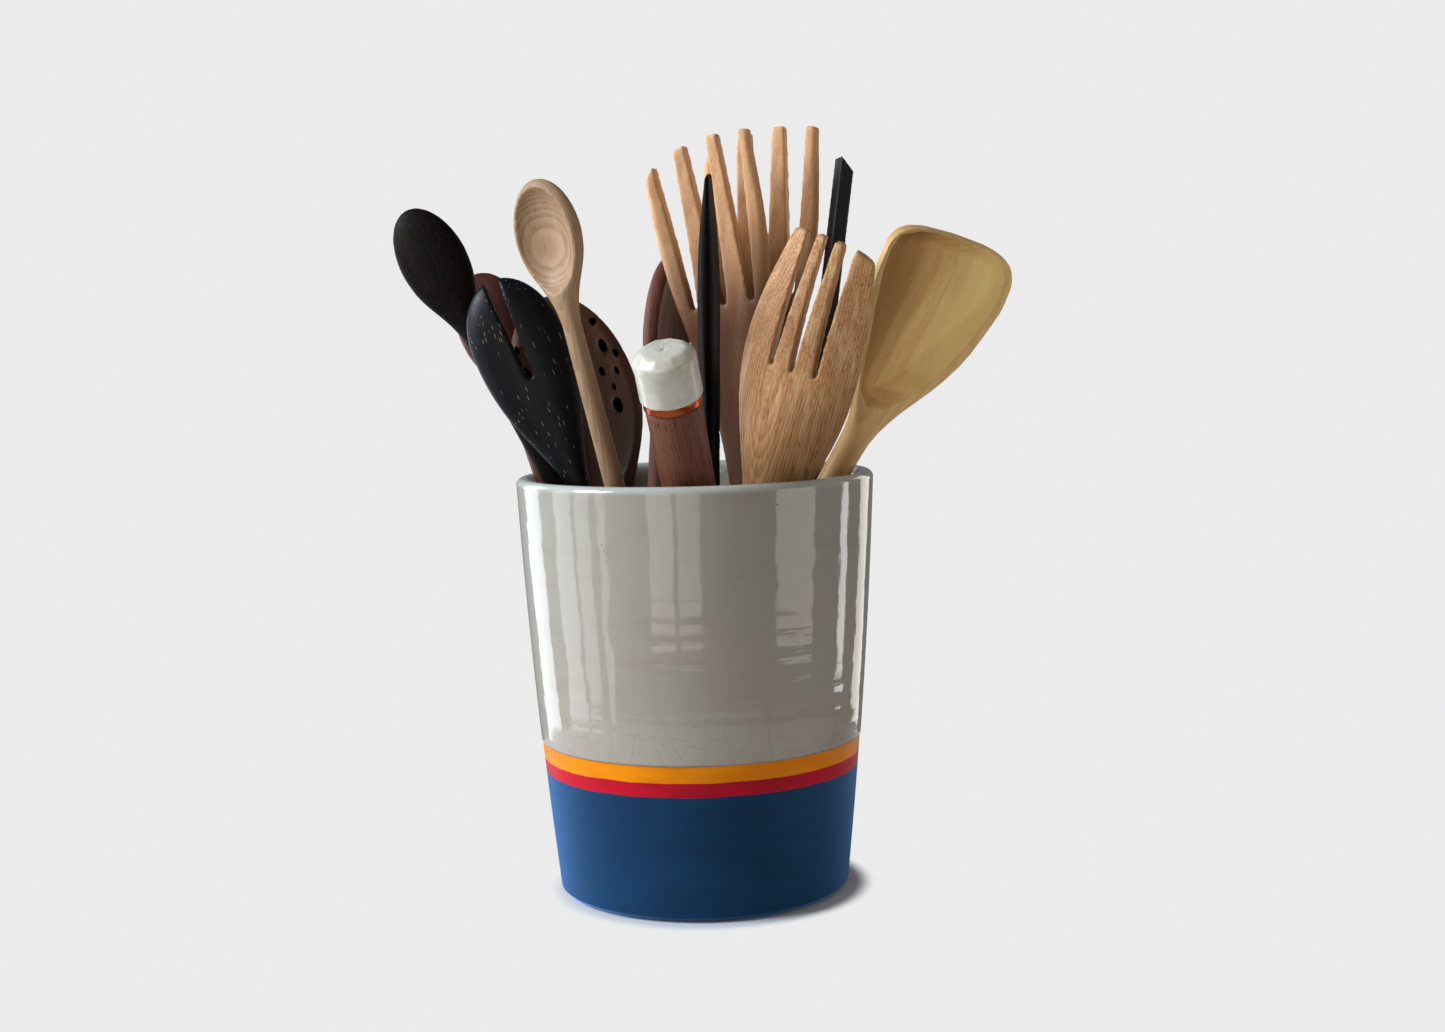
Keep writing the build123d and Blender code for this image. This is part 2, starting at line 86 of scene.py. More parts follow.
def addNode(tree, kind, *values, output=None, **settings):
    nodeType, usual, sockets, usualOutput = nodeKinds[kind]
    node = tree.nodes.new("ShaderNode" + nodeType)
    for name, value in {**usual, **settings}.items():
        setattr(node, name, value)
    fillSockets(node, dict(zip(sockets, values)))
    return node.outputs[usualOutput if output is None else output]


def newMaterial(name):
    # a material, its shader and the node function for its tree
    material = bpy.data.materials.new(name)
    material.use_nodes = True
    return material, material.node_tree.nodes["Principled BSDF"], partial(addNode, material.node_tree)


def hexColour(text):
    # an sRGB hex value as the linear colour that the shader takes
    parts = [int(text[i : i + 2], 16) / 255 for i in (0, 2, 4)]
    return tuple(p / 12.92 if p <= 0.04045 else ((p + 0.055) / 1.055) ** 2.4 for p in parts) + (1.0,)


def tones(look):
    # the colours of a look: all its values that are text
    return {part: hexColour(value) for part, value in look.items() if isinstance(value, str)}


# Wood: growth rings round a heart beside the tool, fibres along it and open pores


def woodMaterial(name, look):
    # carved and oiled wood: soft arches of growth rings under hair-thin fibres and short dark pores
    material, shader, add = newMaterial(name)
    tone = tones(look)
    place = add("attribute", attribute_name="alongTool")
    seed = look["seed"]
    # the heart of the tree lies beside the tool and a little askew, so the rings come out as long arches
    slow = add("stretch", place, (1, 1, 0.22), (seed, 0, 0))
    slow = add("noise", slow, 1 / (22 * mm), 2.0)
    askew = add("stretch", place, (1, 1, 1), look["heart"], look["skew"])
    reach = add("length", add("vectorTimes", askew, (1, 1, 0)))
    waved = add("timesPlus", slow, look["wave"], reach)
    ring = add("maths", waved, look["ringWidth"], operation="DIVIDE")
    ring = add("maths", ring, operation="FRACT")
    late = add("range", ring, 0.25, 1.0)
    late = add("maths", late, add("range", ring, 0.0, 0.12, 1.0, 0.0), operation="MAXIMUM")
    late = add("times", late, look["ringShow"])
    # hair-thin fibres, streaks and blotches, all drawn out along the handle
    fibre, streak, blotch = (
        add("noise", add("stretch", place, (1, 1, along), shift), 1 / size, detail, roughness)
        for along, shift, size, detail, roughness in (
            (0.03, (0, seed, 0), look["fibre"], 3.0, 0.6),
            (0.06, (seed, seed, 0), 3.4 * mm, 2.0, 0.5),
            (0.4, (0, 0, seed), 30 * mm, 2.0, 0.5),
        )
    )
    fibreShare = add("range", fibre, 0.38, 0.72, 0.0, look["fibreShow"])
    streakShare = add("range", streak, 0.45, 0.75, 0.0, look["streakShow"])
    blotchShare = add("range", blotch, 0.40, 0.68, 0.0, look["blotchShow"])
    # pores or flecks: short dashes that follow the fibres
    dash = add("stretch", place, (1, 1, look["dashStretch"]), (0, 0, seed))
    dash = add("cells", dash, 1 / look["dashPitch"])
    kept = add("chance", dash.node.outputs["Color"])
    kept = add("maths", kept, 1 - look["dashShare"], operation="GREATER_THAN")
    dash = add("range", dash, look["dashWidth"] * 0.5, look["dashWidth"], 1.0, 0.0)
    dash = add("times", dash, kept)
    dashShare = add("times", dash, look["dashShow"])
    colour = add("mix", late, tone["early"], tone["late"])
    layers = (fibreShare, "dark"), (streakShare, "pale"), (blotchShare, "dark"), (dashShare, "dash")
    for share, part in layers:
        colour = add("mix", share, colour, tone[part])
    # painted shade: darker lower down the tool, where the other tools and the crock shade it
    height = add("axis", place)
    paintedShadeShare = add("range", height, look["paintedShadeLow"], look["paintedShadeHigh"], look["paintedShadeShow"], 0.0)
    colour = add("mix", paintedShadeShare, colour, tone["paintedShade"], blend_type="MULTIPLY")
    if "lip" in look:
        # painted light at its right, painted shadow at its left, and paler wood on the lip and the back
        side = add("axis", place, output="X")
        paintedLight = add("range", side, *look["paintedLight"])
        paintedShadow = add("range", side, *look["paintedShadow"])
        colour = add("mix", paintedLight, colour, tone["paintedLightTone"])
        colour = add("mix", paintedShadow, colour, tone["paintedShadowTone"], blend_type="MULTIPLY")
        lipTone = add("mix", late, tone["lip"], tone["lipLate"])
        lipTone = add("mix", fibreShare, lipTone, tone["dark"])
        # the scoop's hollow keeps its honey colour: painted warm bounce light
        scooped = add("attribute", attribute_name="scooped", output="Fac")
        outside = add("range", scooped, 0.0, 1.0, look["lipShow"], 0.0)
        colour = add("mix", outside, colour, lipTone)
    relief = add("timesPlus", dash, -1.6, fibre)
    fillSockets(shader, {
        "Base Color": colour,
        "Roughness": add("range", fibre, 0.3, 0.7, look["rough"] - 0.06, look["rough"] + 0.08),
        "IOR": 1.5,
        "Specular IOR Level": look["shine"],
        "Normal": add("bump", relief, look["relief"], 0.8),
    })
    return material


# what each wood has unless its own row says otherwise; the painted shade is between two heights up the tool
plainWood = {
    "seed": 0.0,
    "heart": (0.010, 0.060, 0.0),
    "skew": (0.05, 0.02, 0.0),
    "wave": 2.5 * mm,
    "ringWidth": 2.6 * mm,
    "ringShow": 0.6,
    "early": "b3946f",
    "late": "8d6a48",
    "dark": "6a4a33",
    "pale": "d6b890",
    "fibre": 0.45 * mm,
    "fibreShow": 0.35,
    "streakShow": 0.25,
    "blotchShow": 0.25,
    "dash": "5a4030",
    "dashPitch": 1.3 * mm,
    "dashStretch": 0.14,
    "dashWidth": 0.35,
    "dashShare": 0.25,
    "dashShow": 0.4,
    "paintedShade": "6b5240",
    "paintedShadeLow": 0.170,
    "paintedShadeHigh": 0.230,
    "paintedShadeShow": 0.25,
    "rough": 0.5,
    "shine": 0.20,
    "relief": 0.05 * mm,
}

woodLooks = {
    # oiled wenge: near black with fine brown lines
    "oiledWenge": dict(
        early="150f0c", late="090605", dark="040303", pale="2b1b14", dash="463024", seed=0.31,
        ringWidth=1.1 * mm, ringShow=0.7, fibreShow=0.5, streakShow=0.3, dashPitch=0.9 * mm,
        dashStretch=0.3, dashWidth=0.24, dashShare=0.45, dashShow=0.55, rough=0.58, shine=0.08,
    ),
    # pale hard maple: soft cream with thin tan rings that the bowl cuts into ovals, and painted shade lower
    # down
    "sandedMaple": dict(
        early="aa8b6b", late="7f5d42", dark="7d5d40", pale="cbb08c", dash="6e4f36", seed=0.77,
        heart=(0.006, 0.050, 0.0), skew=(0.07, -0.03, 0.0), wave=1.0 * mm, ringWidth=0.95 * mm,
        ringShow=0.5, fibreShow=0.25, streakShow=0.2, blotchShow=0.2, dashShow=0.15, paintedShadeShow=0.45,
        paintedShadeHigh=0.260,
    ),
    # oiled jarrah: plain deep red-brown
    "oiledJarrah": dict(
        early="54291d", late="3a1a13", dark="24100b", pale="7c4c3a", dash="1e0d09", seed=0.15,
        rough=0.45,
    ),
    # oiled walnut: purple brown with darker lines
    "oiledWalnut": dict(
        early="734a3a", late="523126", dark="2a1610", pale="8f6656", dash="1d0f0b", seed=0.52,
        ringWidth=3.5 * mm, ringShow=0.4, streakShow=0.4, dashPitch=1.1 * mm, dashStretch=0.10,
        dashShow=0.35, dashShare=0.3, rough=0.55, shine=0.12,
    ),
    # the skimmer's walnut: even brown, with painted shade near black toward the handle
    "skimmerWalnut": dict(
        early="5d3c26", late="47291a", dark="2a150c", pale="785038", dash="1e0f08", seed=0.91,
        ringWidth=5.0 * mm, ringShow=0.4, paintedShade="2a1810", paintedShadeLow=0.150, paintedShadeHigh=0.245, paintedShadeShow=0.75,
    ),
    # the walls of the skimmer's holes: near black, painted shade
    "holeShadeWalnut": dict(
        early="100906", late="0b0604", dark="070302", pale="180e08", dash="070302", seed=0.2,
        rough=0.7, shine=0.1,
    ),
    # ebony rubbed with oil: blue-black with scattered pale flecks along the grain
    "rubbedEbony": dict(
        early="08080b", late="040406", dark="030303", pale="11131a", dash="b09470", seed=0.23,
        ringWidth=5.0 * mm, fibreShow=0.4, streakShow=0.5, dashPitch=0.8 * mm, dashStretch=0.07,
        dashWidth=0.165, dashShare=0.7, dashShow=0.75, rough=0.42, shine=0.17, relief=0.04 * mm,
    ),
    # beech stained black: almost no grain to see, a dull skin
    "stainedBlack": dict(
        early="080504", late="040303", dark="020202", pale="120c0a", dash="1a1210", seed=0.63,
        rough=0.55, shine=0.07, fibreShow=0.5, dashShow=0.3,
    ),
    # a planed black bar: charcoal with faint lines and a little gloss on its edges
    "blackBar": dict(
        early="1b1918", late="131110", dark="0b0a0a", pale="2a2726", dash="080707", seed=0.44,
        rough=0.48, shine=0.25, ringShow=0.3, dashShow=0.2,
    ),
    # steamed beech: warm pink tan with many tiny dashes, and deep painted shade below the tines
    "steamedBeech": dict(
        early="deae80", late="c48c5c", dark="94603a", pale="ecc89c", dash="7d4c2c", seed=0.38,
        ringWidth=4.0 * mm, ringShow=0.5, fibreShow=0.30, blotchShow=0.3, dashPitch=1.0 * mm,
        dashStretch=0.20, dashWidth=0.26, dashShare=0.45, paintedShade="55301a", paintedShadeLow=0.222, paintedShadeHigh=0.274,
        paintedShadeShow=0.88,
    ),
    # hand-carved fork: coarse tan with close wavy lines and brown dashes
    "carvedBeech": dict(
        early="d09c68", late="9c673a", dark="6a3f22", pale="f0ce9c", dash="4a2b14", seed=0.84,
        heart=(0.020, 0.045, 0.0), skew=(0.16, -0.05, 0.0), ringWidth=1.35 * mm, wave=3 * mm,
        ringShow=0.55, fibreShow=0.65, streakShow=0.4, blotchShow=0.35, dashPitch=0.95 * mm,
        dashStretch=0.12, dashWidth=0.22, dashShare=0.6, dashShow=0.65, paintedShadeShow=0.2, rough=0.52,
        relief=0.09 * mm,
    ),
    # the wok spatula: honey-yellow wood with soft upright lines, and painted shade on its neck
    "honeyWood": dict(
        early="f2c680", late="d2a05a", dark="a4723a", pale="fae6a0", dash="6d4a20", seed=0.57,
        heart=(0.030, 0.050, 0.0), skew=(0.05, -0.04, 0.0), ringWidth=3.6 * mm, wave=3 * mm,
        ringShow=0.5, fibreShow=0.22, streakShow=0.35, blotchShow=0.4, dashShow=0.2, paintedShade="9a7a5c",
        paintedShadeLow=0.195, paintedShadeHigh=0.215, paintedShadeShow=0.6, rough=0.46, shine=0.25, lip="e6bd80",
        lipLate="cba066", lipShow=0.8,
        # its right side has painted light, its left side painted shadow: from and to across, share there
        paintedLight=(0 * mm, 24 * mm, 0.0, 0.9), paintedLightTone="ffe092",
        paintedShadow=(-26 * mm, 4 * mm, 0.8, 0.0), paintedShadowTone="a68052",
    ),
    # turned muddler shaft: red-brown with fine dark pores
    "turnedRosewood": dict(
        early="7c4c38", late="603826", dark="3c1e13", pale="9c6c52", dash="1f0f0a", seed=0.69,
        ringWidth=4.5 * mm, ringShow=0.35, streakShow=0.2, fibreShow=0.55, dashPitch=0.85 * mm,
        dashStretch=0.13, dashWidth=0.30, dashShare=0.6, dashShow=0.7, paintedShadeShow=0.1, rough=0.48,
        shine=0.24, relief=0.08 * mm,
    ),
}
woods = {name: woodMaterial(name, {**plainWood, **look}) for name, look in woodLooks.items()}
print("woods ready:", len(woods))


# Forms: rings of points, their faces and the meshes that take them


def makeRevolved(name, profile, around, wander=None, placed=None):
    # a profile (radius, height) carried round Z; wander(angle, height) pulls the wall in at each point
    angles = np.linspace(0, 2 * math.pi, around, endpoint=False)
    radius, height = np.array(profile).T
    angleGrid, radiusGrid = np.meshgrid(angles, radius)
    heightGrid = np.repeat(height[:, None], around, axis=1)
    if wander is not None:
        radiusGrid = np.maximum(radiusGrid - wander(angleGrid, heightGrid) * (radiusGrid > 1e-6), 0)
    points = np.stack((radiusGrid * np.cos(angleGrid), radiusGrid * np.sin(angleGrid), heightGrid), -1)
    piece = makePiece(name, withPoles(points), gridFaces(*points.shape[:2]))
    if placed is not None:
        piece.data.transform(placed)
    return piece


def gridFaces(rows, around, first=0):
    # the faces of a stack of rings whose first and last rings close to a pole; the poles follow the rings
    row, column = np.meshgrid(np.arange(rows - 1), np.arange(around), indexing="ij")
    following = (column + 1) % around
    low, high = first + row * around, first + (row + 1) * around
    quads = np.stack((low + column, low + following, high + following, high + column), -1).reshape(-1, 4)
    ring = np.arange(around)
    after = (ring + 1) % around
    pole, top = first + rows * around, first + (rows - 1) * around
    start = np.stack((np.full(around, pole), first + after, first + ring), -1)
    end = np.stack((np.full(around, pole + 1), top + ring, top + after), -1)
    return quads.tolist() + start.tolist() + end.tolist()


def withPoles(points):
    # the rings' points in one list, then the middles of the first and the last ring
    return np.concatenate((points.reshape(-1, 3), [points[0].mean(0), points[-1].mean(0)]))


def addObject(name, data):
    thing = bpy.data.objects.new(name, data)
    bpy.context.scene.collection.objects.link(thing)
    return thing


def makePiece(name, points, faces):
    mesh = bpy.data.meshes.new(name)
    mesh.from_pydata(points.tolist(), [], faces)
    mesh.validate()
    faceOutward(mesh)
    mesh.shade_smooth()
    return addObject(name, mesh)


def readVectors(holder, field):
    values = np.empty(len(holder) * 3, np.float32)
    holder.foreach_get(field, values)
    return values.reshape(-1, 3).astype(float)


def writeAttribute(mesh, name, kind, field, values):
    attribute = mesh.attributes.new(name, kind, "POINT")
    attribute.data.foreach_set(field, values.astype(np.float32).ravel())


def faceOutward(mesh):
    # turns all faces of a closed mesh outwards
    form = bmesh.new()
    form.from_mesh(mesh)
    bmesh.ops.recalc_face_normals(form, faces=form.faces)
    form.to_mesh(mesh)
    form.free()


def arcPoints(centre, radius, start, end, count):
    # points on an arc between two angles in degrees
    turn = np.radians(np.linspace(start, end, count))
    return list(zip(centre[0] + radius * np.cos(turn), centre[1] + radius * np.sin(turn)))


# The crock: thrown stoneware, a grey glaze above and three painted bands below

crockLook = {
    "around": 192,
    "height": 178.0 * mm,
    "baseRadius": 61.8 * mm,
    "mouthRadius": 75.55 * mm,
    "swell": 1.5 * mm,  # how far the wall bulges at mid height
    "wall": 6.2 * mm,
    "floor": 9.0 * mm,
    "floorRound": 7.0 * mm,
    "foot": 2.5 * mm,  # the bevel at its base
    "glazeEdge": 65.7 * mm,
    "glazeThick": 0.3 * mm,
    "ringDepth": 0.045 * mm,  # throwing rings
    "relief": 0.16 * mm,
    "brushWaver": 1.1 * mm,
    "blueTop": 53.0 * mm,
    "redTop": 58.9 * mm,
    "glaze": "9c9183",
    "glazeCool": "989688",
    "glazeDark": "877b6c",
    "glazeLip": "b4b8b0",
    "glazePool": "4a4238",
    "speck": "3b342c",
    "orange": "e08400",
    "orangeThin": "cf7400",
    "red": "b40e24",
    "redThin": "9c0c20",
    "blue": "052e4a",
    "blueDark": "042842",
    "blueGrain": "0e4366",
    "blueSheen": "68a6f2",
    "clay": "3a302a",
    "blueRough": 0.55,
    "bandRough": 0.42,
    "glazeRough": 0.06,
    "slipShine": 0.08,  # specular levels of slip and glaze
    "glazeShine": 0.5,
    "bloom": 0.9,  # sheen of the blue slip
    "bloomRough": 0.46,
}


def crockMaterial(look):
    # thrown stoneware: thick glossy glaze that pools at its foot, over matt coloured slip laid on by brush
    material, shader, add = newMaterial("glazedStoneware")
    tone = tones(look)
    place = add("coordinates")
    height = add("axis", place)
    # the bands are outside only: within the middle of the wall, and above the foot, all is glaze
    reach = add("length", add("vectorTimes", place, (1, 1, 0)))
    widening = (look["mouthRadius"] - look["baseRadius"]) / look["height"]
    middle = look["baseRadius"] - look["wall"] / 2
    middle = add("timesPlus", height, widening, middle)
    within = add("maths", reach, middle, operation="LESS_THAN")
    aboveFoot = add("maths", height, look["floor"] / 2, operation="GREATER_THAN")
    within = add("times", within, aboveFoot)
    outside = add("maths", 1.0, within, operation="SUBTRACT")
    # the brush wavers by a few tenths of a millimetre
    waver = add("noise", add("stretch", place, (1, 1, 0.3)), 1 / (14 * mm), 3.0)
    painted = add("maths", height, look["brushWaver"] / 2, operation="SUBTRACT")
    painted = add("timesPlus", waver, look["brushWaver"], painted)
    glazeFoot = look["glazeEdge"] + look["glazeThick"] / 2
    bands = (painted, look["blueTop"], 0.15), (painted, look["redTop"], 0.15), (height, glazeFoot, 0.1)
    overBlue, overRed, overOrange = (
        add("maths", add("range", level, edge - soft * mm, edge + soft * mm), within, operation="MAXIMUM")
        for level, edge, soft in bands
    )
    # matt slip: even, with a fine tooth, and on the blue a faint bloom where light grazes it
    grain = add("noise", place, 1 / (0.5 * mm), 3.0, 0.7)
    tooth = add("range", grain, 0.55, 0.75, 0.0, 0.3)
    brushed = add("noise", add("stretch", place, (0.3, 0.3, 1)), 1 / (12 * mm), 2.0)
    brushed = add("range", brushed, 0.35, 0.65)
    blue = add("mix", brushed, tone["blueDark"], tone["blue"])
    blue = add("mix", tooth, blue, tone["blueGrain"])
    orange = add("mix", brushed, tone["orange"], tone["orangeThin"])
    red = add("mix", brushed, tone["red"], tone["redThin"])
    # warm grey glaze: barely cloudy, cooler where it lies thick, paler on the lip
    cloud = add("range", add("noise", place, 1 / (45 * mm), 2.0, 0.4), 0.3, 0.7)
    upper = add("range", height, look["glazeEdge"], look["height"], 0.0, 0.55)
    cool = add("timesPlus", cloud, 0.45, upper)
    pool = add("noise", add("stretch", place, (0.2, 0.2, 1)), 1 / (7 * mm), 2.0)
    pool = add("range", pool, 0.5, 0.8, 0.0, 0.22)
    lip = add("range", height, look["height"] - 4 * mm, look["height"] - 0.5 * mm, 0.0, 0.75)
    edge = add("range", height, glazeFoot, glazeFoot + 0.9 * mm, 0.6, 0.0)
    edge = add("times", edge, outside)
    # iron specks and pinholes of half a millimetre, more of them near the glaze's foot
    cells = add("cells", place, 1 / (7 * mm))
    chance = add("chance", cells.node.outputs["Color"])
    kept = add("range", height, glazeFoot, look["height"] * 0.75, 0.45, 0.10)
    kept = add("maths", chance, kept, operation="LESS_THAN")
    specks = add("range", cells, 0.035, 0.07, 1.0, 0.0)
    specks = add("times", specks, kept)
    speckShare = add("times", specks, 0.7)
    # crazing: hair cracks in the lower glaze
    cracks = add("stretch", place, (1, 1, 0.7))
    cracks = add("cells", cracks, 1 / (8 * mm), feature="DISTANCE_TO_EDGE")
    cracks = add("range", cracks, 0.0, 0.025, 1.0, 0.0)
    crazed = add("range", height, glazeFoot + 4 * mm, glazeFoot + 34 * mm, 0.22, 0.0)
    crazed = add("times", cracks, crazed)
    glaze = add("mix", cool, tone["glaze"], tone["glazeCool"])
    layers = (pool, "glazeDark"), (lip, "glazeLip"), (edge, "glazePool"), (speckShare, "speck")
    for share, part in (*layers, (crazed, "glazePool")):
        glaze = add("mix", share, glaze, tone[part])
    # from the foot up: rubbed clay, blue, red, orange and glaze
    colour = add("mix", overBlue, blue, red)
    colour = add("mix", overRed, colour, orange)
    colour = add("mix", overOrange, colour, glaze)
    footRub = add("range", height, 0.4 * mm, look["foot"] * 0.9, 1.0, 0.0)
    colour = add("mix", footRub, colour, tone["clay"])
    rough = add("range", grain, 0.3, 0.7, -0.05, 0.05)
    rough = add("maths", rough, look["blueRough"], operation="ADD")
    rough = add("blend", overBlue, rough, look["bandRough"])
    rough = add("blend", overOrange, rough, look["glazeRough"])
    rough = add("timesPlus", specks, 0.3, rough)
    # throwing lines and a slow waver under the glaze, a fine tooth below it
    lines = add("stretch", place, (0.05, 0.05, 1))
    lines = add("noise", lines, 1 / (3.2 * mm), 3.0, 0.55)
    gentle = add("noise", add("stretch", place, (1, 1, 0.6)), 1 / (13 * mm), 2.0)
    orangePeel = add("noise", place, 1 / (1.6 * mm), 2.0)
    relief = add("times", gentle, 2.2)
    for layer, depth in ((lines, 0.5), (orangePeel, 0.10), (specks, -0.8)):
        relief = add("timesPlus", layer, depth, relief)
    gritty = add("times", grain, 0.45)
    relief = add("blend", overOrange, gritty, relief)
    fillSockets(shader, {
        "Base Color": colour,
        "Roughness": rough,
        "IOR": 1.55,
        "Specular IOR Level": add("blend", overOrange, look["slipShine"], look["glazeShine"]),
        "Sheen Weight": add("blend", overBlue, look["bloom"], 0.0),
        "Sheen Roughness": look["bloomRough"],
        "Sheen Tint": tone["blueSheen"],
        "Normal": add("bump", relief, look["relief"], 0.7),
    })
    return material


def makeCrock(look):
    # the profile runs from the middle of the base up the outside, over the lip and down the inside
    def outer(height):
        # the wall widens evenly and swells a little at mid height
        share = height / look["height"]
        wide = look["baseRadius"] + (look["mouthRadius"] - look["baseRadius"]) * share
        return wide + 4 * look["swell"] * share * (1 - share)

    lipRadius = look["wall"] / 2
    lipHeight = look["height"] - lipRadius
    skin = look["glazeThick"]
    profile = [
        (0.0, 0.0), (outer(0) * 0.5, 0.0), (outer(0) - look["foot"] - 0.4 * mm, 0.0),
        (outer(0) - look["foot"], 0.05 * mm)
    ]
    profile += [(outer(h) - (look["foot"] - h) * 0.98, h) for h in np.linspace(0.3 * mm, look["foot"], 5)]
    profile += [
        (outer(h), h) for h in np.linspace(look["foot"] + 0.4 * mm, look["glazeEdge"] - 0.1 * mm, 60)
    ]
    edge = look["glazeEdge"]
    profile += [
        (outer(edge), edge), (outer(edge) + skin * 0.75, edge + 0.15 * mm),
        (outer(edge) + skin, edge + skin)
    ]
    profile += [(outer(h) + skin, h) for h in np.linspace(edge + 0.9 * mm, lipHeight, 110)]
    centre = (outer(look["height"]) - lipRadius + skin / 2, lipHeight)
    lip = arcPoints(centre, lipRadius + skin / 2 - 0.02 * mm, 8, 172, 15)
    profile += [(r, min(h, look["height"])) for r, h in lip]
    low = look["floor"] + look["floorRound"]
    profile += [(outer(h) - look["wall"], h) for h in np.linspace(lipHeight, low, 60)]
    corner = (outer(look["floor"]) - look["wall"] - look["floorRound"] + 1.0 * mm, low)
    profile += [(r, h) for r, h in arcPoints(corner, look["floorRound"], 0, -90, 9)]
    profile += [(corner[0] * share, look["floor"]) for share in (0.9, 0.6, 0.3, 0.0)]

    def wander(angle, height):
        # throwing rings that climb in a slow spiral, fading out at the foot and the lip
        spiral = height / (7.5 * mm) + angle / (2 * math.pi)
        rings = 0.5 + 0.5 * np.sin(2 * math.pi * spiral + 0.8 * np.sin(angle * 2 + height / (20 * mm)))
        fade = np.clip((height - 4 * mm) / (12 * mm), 0, 1) * np.clip(
            (look["height"] - 6 * mm - height) / (10 * mm), 0, 1
        )
        oval = 0.5 + 0.5 * np.sin(2 * angle + 0.7)
        return look["ringDepth"] * fade * (0.75 * rings + 0.5 * oval)

    return makeRevolved("stonewareCrock", profile, look["around"], wander)


crock = makeCrock(crockLook)
crock.data.materials.append(crockMaterial(crockLook))
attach(crock, "crock")
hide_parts("crock")
print("crock ready:", len(crock.data.polygons), "faces")


# The wooden tools: each carved form is taken from its CAD solid and worn smooth

carving = {
    # node: wood, record slot, grain of the remeshing in millimetres, smoothing passes; no grain for the
    # piece that is drawn anew
    "dark_spoon": ("oiledWenge", "wenge", 0.75, 6),
    "pale_spoon": ("sandedMaple", "maple", 0.7, 6),
    "red_spoon": ("oiledJarrah", "jarrah", 0.8, 6),
    "pointed_spoon": ("oiledWalnut", "walnut", 0.8, 4),
    "slotted_spoon": ("rubbedEbony", "ebony", 0.75, 6),
    "skimmer": ("skimmerWalnut", "olive_walnut", 0.7, 4),
    "black_spatula": ("stainedBlack", "black_wood", 0.8, 5),
    "front_salad_hand": ("steamedBeech", "beech", 0.75, 12),
    "back_salad_hand": ("steamedBeech", "beech", 0.75, 12),
    "fork": ("carvedBeech", "carved_beech", 0.75, 8),
    "wok_spatula": ("honeyWood", "bamboo", None, 6),
    "black_stick": ("blackBar", "black_bar", 0.6, 2),
}

# the wok spatula is drawn anew: all its tables are in millimetres on the tool's own axes
wokLook = {
    "around": 160,
    # heights up the tool, then its left and right sides there; the sections go up to crownEnd
    "height": (
        -5.4, -4.9, -3.8, -2.2, 0, 100, 200, 206, 212, 218, 224, 230, 237, 244, 252, 260, 268, 276, 284,
        290, 303
    ),
    "left": (
        0.5, 2.4, 4.0, 5.0, 5.4, 5.4, 5.5, 6.1, 7.3, 9.5, 12.2, 15.3, 19, 22.6, 26.3, 29.2, 31.4, 32.6, 33,
        33, 33
    ),
    "right": (
        0.5, 2.4, 4.0, 5.0, 5.4, 5.4, 5.5, 6.0, 7.3, 9.4, 12, 15, 18.6, 21.6, 24.6, 27, 29, 30.8, 32.1,
        32.4, 32.4
    ),
    # how far the rim lies back, and how far the front and the back swell away from it
    "rim": (
        0, 0, 0, 0, 0, 0, -0.3, -0.5, -0.9, -1.5, -2.2, -3.0, -3.8, -4.5, -4.8, -4.4, -3.2, -1.6, -0.2, 1.2,
        4.6
    ),
    "frontSwell": (
        0.3, 1.8, 3.0, 3.7, 4.0, 4.0, 4.0, 3.9, 3.7, 3.3, 2.4, 1.4, 0.7, 0.2, 0, 0, 0, 0, 0, 0, 0
    ),
    "backSwell": (
        0.3, 1.8, 3.0, 3.7, 3.9, 3.9, 4.1, 4.4, 4.9, 5.6, 6.3, 7.1, 8.1, 9, 9.8, 9.6, 9, 8.3, 7.4, 6.8, 5.6
    ),
    "rimFront": 1.2,
    "rimBack": 1.4,
    # the top edge: across and up
    "topAcross": (-33, -32.2, -30.6, -28, -24, -17, -1, 15, 20, 24, 27.7, 30, 31.5, 32.2, 32.4),
    "topHeight": (
        286, 288.8, 291.2, 293.6, 295.8, 298, 300.4, 301.6, 301.4, 300.7, 299.2, 297, 294.4, 291.6, 289.5
    ),
    "crownStart": 262,
    "crownEnd": 302,
    # the scoop's edge from the front, how far it is widened, the width of its wall, its depth, the fade of
    # its painted bounce light at the edge, and the least wood behind it
    "scoopEdge": (
        (-28, 290), (-20, 294.4), (-10, 296.8), (0, 298), (14, 299), (22, 297.4), (26.6, 292),
        (27.4, 285), (26, 276), (21.5, 261), (15.5, 244), (8, 231.5), (1, 225), (-6, 223), (-11, 227),
        (-18, 242), (-25, 260), (-28.6, 275), (-29.4, 284),
    ),
    "scoopGrow": 2.0,
    "scoopWall": 14.0,
    "scoopDepth": 11.0,
    "scoopFade": 0.8,
    "wood": 2.4,
}

# the salad hands' tines, in millimetres: where they part and end, their spacing there, how much they slim
tineLook = {
    "front_salad_hand": {"root": 238, "reach": 310, "pitch": (12.0, 15.6), "slim": 0.22},
    "back_salad_hand": {"root": 241, "reach": 313, "pitch": (12.0, 15.6), "slim": 0.12},
}
skimmerLook = {
    # half the holes, mirrored to the other side: across, up, half width and half height in millimetres
    "holes": (
        (17.1, 239.2, 1.2, 1.9), (17.3, 228.4, 2.0, 3.2), (21.4, 223.5, 1.2, 1.9),
        (13.0, 218.6, 1.4, 2.2), (19.1, 216.6, 1.2, 1.9), (15.6, 210.7, 1.0, 1.6),
        (14.5, 202.9, 2.2, 3.5),
    ),
    "slant": 45,
    "sharp": 40,  # degrees from which an edge stays sharp
    "rodHalf": 11 * mm,
    "plugInset": 0.15 * mm,
    "plugGrow": 0.4 * mm,
    "around": 20,
}


